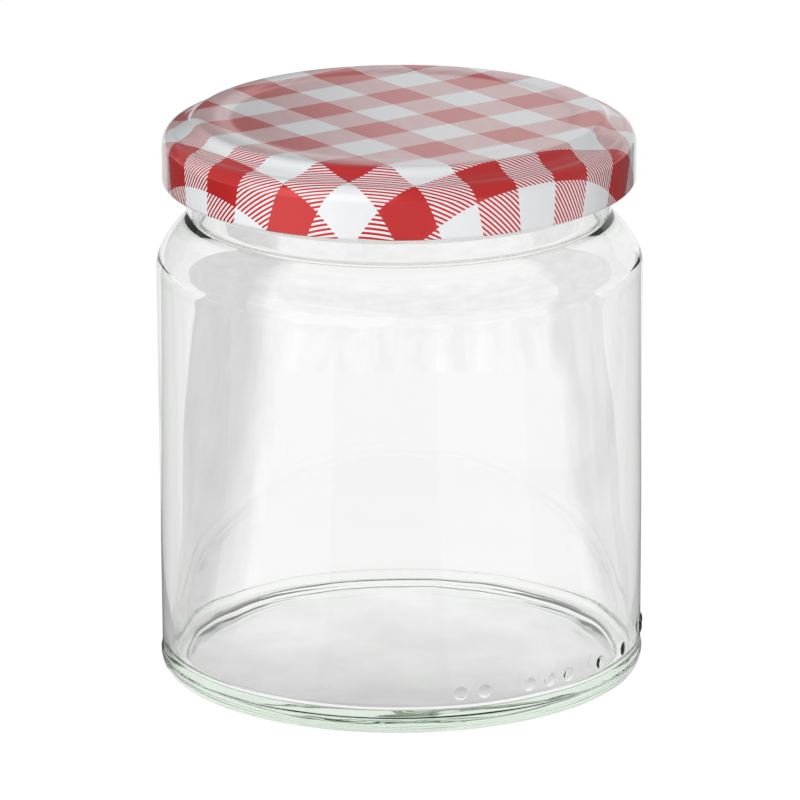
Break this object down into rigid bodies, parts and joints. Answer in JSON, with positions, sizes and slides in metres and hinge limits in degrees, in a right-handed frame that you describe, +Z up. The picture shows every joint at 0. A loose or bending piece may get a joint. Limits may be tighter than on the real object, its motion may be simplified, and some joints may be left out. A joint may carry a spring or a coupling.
{
  "type": "canning jar with twist-off lid",
  "caption": "Empty round clear-glass canning jar with a short neck and rounded shoulder, closed by a twist-off metal lid printed with red and white gingham.",
  "frame": {"origin": "centre of the glass base, on the surface that the jar stands on", "axes": "+Z up along the jar's axis, -Y towards the side that the picture shows, +X to the right of it"},
  "size_m": [0.0871, 0.087, 0.1019],
  "materials": {
    "jar_glass": "clear, smooth, very slightly green where thick",
    "lid_print": "glossy lacquer over a red and white gingham print"
  },
  "bodies": {
    "root": {"jar": "jar_glass", "lid": "lid_print"}
  },
  "joints": []
}
